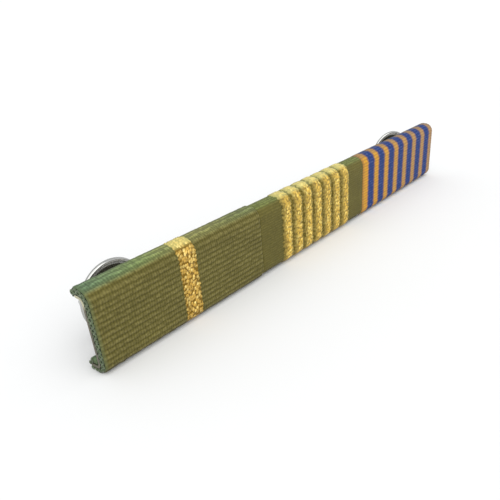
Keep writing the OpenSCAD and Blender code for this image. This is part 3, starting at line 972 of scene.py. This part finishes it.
class RIBBONBAR_OT_corded_ribbon(bpy.types.Operator):
    """Weave the smooth olive ribbon and lay its raised gold cords on it"""

    bl_idname = "ribbonbar.corded_ribbon"
    bl_label = "Corded ribbon"

    def execute(self, context):
        s, c = sizes(), colours()
        start, end = ribbon_span("ribbon_corded")
        half = (s.cord_count - 1) / 2 * s.cord_pitch
        cloth = woven_cloth(
            "corded_cloth", c.moss, c.moss_groove_shade, [(0.0, c.lit_moss_lip), (1.0, c.lit_moss_lip)],
            warp_pitch=0.16 * MM, contrast=0.13,
            band=(s.cord_first + half - start, half, c.gilt, c.lit_gilt_lip),
        )
        strip = wrapped_strip(
            "ribbon_corded_cloth", [(start, end)], outside=lifted(CORDED), inside=SEAT,
            spacing=s.fine_pitch / 8, columns=70, edge=0.15 * MM,
        )
        grow(strip, woven_tree(), rib_pitch=s.fine_pitch, rib_depth=s.fine_depth, sway=0.1 * MM,
             waver=0.1 * MM, fuzz=0.03 * MM, seed=9.0, finish=cloth)
        middles = [s.cord_first + i * s.cord_pitch for i in range(s.cord_count)]
        cords = wrapped_strip(
            "gold_cords", [(x - s.cord_w / 2, x + s.cord_w / 2) for x in middles], outside=lifted(CORDED),
            inside=lifted(CORDED, CORD_FOOT), spacing=0.08 * MM, columns=24, press=0.38, top_press=0.4,
        )
        grow(cords, thread_tree(), fleck_width=0.42 * MM, fleck_length=0.55 * MM, slant=0.25,
             fleck_height=0.17 * MM, crown=s.cord_h, ragged=0.26 * MM, seed=11.0,
             finish=metal_thread("cord_thread", c.cord_dark, c.cord_gold, c.cord_pale, 0.9))
        on_bar(cords)
        cloth_sheet(strip, "ribbon_corded")
        return {"FINISHED"}


class RIBBONBAR_OT_striped_ribbon(bpy.types.Operator):
    """Weave the ribbon of gold and blue stripes"""

    bl_idname = "ribbonbar.striped_ribbon"
    bl_label = "Striped ribbon"

    def execute(self, context):
        s = sizes()
        start, end = ribbon_span("ribbon_striped")
        strip = wrapped_strip(
            "ribbon_striped_cloth", [(start, end)], outside=lifted(STRIPED), inside=SEAT,
            spacing=s.stripe_rib / 9, columns=60, edge=0.25 * MM,
        )
        grow(strip, woven_tree(), rib_pitch=s.stripe_rib, rib_depth=s.stripe_depth, sway=0.08 * MM,
             waver=0.06 * MM, fuzz=0.03 * MM, seed=21.0, finish=striped_cloth(end - start))
        loops = selvedge(
            "selvedge_right", end - 0.08 * MM, SEAT_GAP + 0.44 * MM, SEAT_GAP + 0.3 * MM,
            radius=0.24 * MM, thread=0.13 * MM, pitch=s.stripe_rib, seed=8,
            material=loop_cloth("selvedge_buff", (0.22, 0.18, 0.18), (0.10, 0.08, 0.09)), turned=True,
        )
        cloth_sheet(strip, "ribbon_striped")
        return {"FINISHED"}


class RIBBONBAR_OT_metal(bpy.types.Operator):
    """Finish the carrier and both clutches in their metals"""

    bl_idname = "ribbonbar.metal"
    bl_label = "Carrier and clutches"

    def execute(self, context):
        c = colours()
        dress("carrier", plated("carrier_steel", c.steel, 0.32, (60.0, 5000.0, 5000.0), cut_edge))
        spring = plated("spring_nickel", toned(c.nickel, 0.93), 0.22, (400.0, 4000.0, 4000.0))
        grain = (1500.0, 1500.0, 1500.0)
        for hand in DISHES:
            cup = plated("clutch_nickel_" + hand, c.nickel, 0.16, grain, dished_face(hand))
            dress("clutch_cup_" + hand, cup)
            dress("clutch_spring_" + hand, spring)
        return {"FINISHED"}


# The stage

def lay_floor(settings):
    """A plain round floor, whiter far away from the bar."""
    turns, rings = 48, (0.25, 0.8, 3.0)
    angles = [2 * PI * t / turns for t in range(turns)]
    points = [(r * math.cos(angle), r * math.sin(angle), 0.0) for r in rings for angle in angles]
    faces = [tuple(range(turns))]
    for a in range(0, (len(rings) - 1) * turns, turns):
        b = a + turns
        faces += [(a + t, b + t, b + (t + 1) % turns, a + (t + 1) % turns) for t in range(turns)]
    floor = new_object("floor", points, faces)
    material, tree, shader = finish("floor_paper", 0.9, Specular_IOR_Level=0.1)
    where = on_object(tree)
    far = ramp(tree, vector_calc(tree, "LENGTH", where), 0.1, 0.6)
    paper = mix(tree, far, settings.floor, (0.99, 0.99, 0.99))
    paint(tree, shader, shade_by(tree, paper, noise_at(tree, where, 40.0, 2.0), 0.995, 1.0))
    floor.data.materials.append(material)


def light_studio(settings):
    """A bright dome, dimmer low down behind the camera, and one soft light from far away in front."""
    world = bpy.data.worlds.new("studio")
    world.use_nodes = True
    sky = world.node_tree
    look = wire(sky, "ShaderNodeTexCoord").outputs["Generated"]
    height = parts_of(sky, look)[UP]
    behind = vector_calc(sky, "DOT_PRODUCT", look, TO_CAMERA)
    dim = times(sky, ramp(sky, height, 0.5, 0.05), ramp(sky, behind, -0.1, 0.5))
    above = tuple(settings.dome * v for v in (0.98, 0.995, 1.005))
    shade = mix(sky, ramp(sky, height, 0.02, 0.12), (1.04, 1.04, 1.04), above)
    shade = mix(sky, times(sky, dim, 0.6), shade, (0.05, 0.05, 0.05))
    sky.links.new(shade, sky.nodes["Background"].inputs[0])
    bpy.context.scene.world = world
    lamp = bpy.data.lights.new("key_light", "SUN")
    lamp.energy, lamp.angle, lamp.color = settings.key_strength, settings.key_angle, (1.0, 0.995, 0.98)
    obj = bpy.data.objects.new("key_light", lamp)
    obj.rotation_euler = TO_KEY_LIGHT.to_track_quat("Z", "Y").to_euler()
    bpy.context.scene.collection.objects.link(obj)


def place_camera(settings):
    """The camera where the photograph was taken from."""
    camera = bpy.data.cameras.new("camera")
    camera.lens, camera.sensor_width, camera.sensor_fit = settings.lens, SENSOR_MM, "HORIZONTAL"
    camera.shift_y = CAMERA_SHIFT
    camera.clip_start, camera.clip_end = 0.005, 10.0
    obj = bpy.data.objects.new("camera", camera)
    bpy.context.scene.collection.objects.link(obj)
    ahead = CAMERA_AHEAD.normalized()
    right = ahead.cross(CAMERA_UP).normalized()
    turned = Matrix((right, right.cross(ahead), -ahead)).transposed().to_4x4()
    obj.matrix_world = Matrix.Translation(CAMERA_PLACE) @ turned
    bpy.context.scene.camera = obj


class RIBBONBAR_OT_stage(bpy.types.Operator):
    """Set the floor, the light and the camera"""

    bl_idname = "ribbonbar.stage"
    bl_label = "Stage"

    def execute(self, context):
        settings = context.scene.ribbon_bar_stage
        lay_floor(settings)
        light_studio(settings)
        place_camera(settings)
        context.scene.view_settings.view_transform = "Standard"
        return {"FINISHED"}


class RIBBONBAR_PT_panel(bpy.types.Panel):
    """Buttons that make each piece, over the sizes and colours that they use"""

    bl_label = "Ribbon bar"
    bl_idname = "RIBBONBAR_PT_panel"
    bl_space_type = "VIEW_3D"
    bl_region_type = "UI"
    bl_category = "Ribbon bar"

    def draw(self, context):
        for step in STEPS:
            self.layout.operator(step.bl_idname)
        for group in (sizes(), colours(), context.scene.ribbon_bar_stage):
            box = self.layout.box()
            for key in group.__annotations__:
                box.prop(group, key)


STEPS = (
    RIBBONBAR_OT_ribbed_ribbon,
    RIBBONBAR_OT_corded_ribbon,
    RIBBONBAR_OT_striped_ribbon,
    RIBBONBAR_OT_metal,
    RIBBONBAR_OT_stage,
)
CLASSES = (RibbonSizes, Colours, StageSizes, *STEPS, RIBBONBAR_PT_panel)


def register():
    for cls in CLASSES:
        bpy.utils.register_class(cls)
    bpy.types.Scene.ribbon_bar_sizes = bpy.props.PointerProperty(type=RibbonSizes)
    bpy.types.Scene.ribbon_bar_colours = bpy.props.PointerProperty(type=Colours)
    bpy.types.Scene.ribbon_bar_stage = bpy.props.PointerProperty(type=StageSizes)


def unregister():
    del bpy.types.Scene.ribbon_bar_stage
    del bpy.types.Scene.ribbon_bar_colours
    del bpy.types.Scene.ribbon_bar_sizes
    for cls in reversed(CLASSES):
        bpy.utils.unregister_class(cls)


def main():
    register()
    bpy.ops.ribbonbar.ribbed_ribbon()
    bpy.ops.ribbonbar.corded_ribbon()
    bpy.ops.ribbonbar.striped_ribbon()
    bpy.ops.ribbonbar.metal()
    bpy.ops.ribbonbar.stage()


if __name__ == "__main__":
    main()
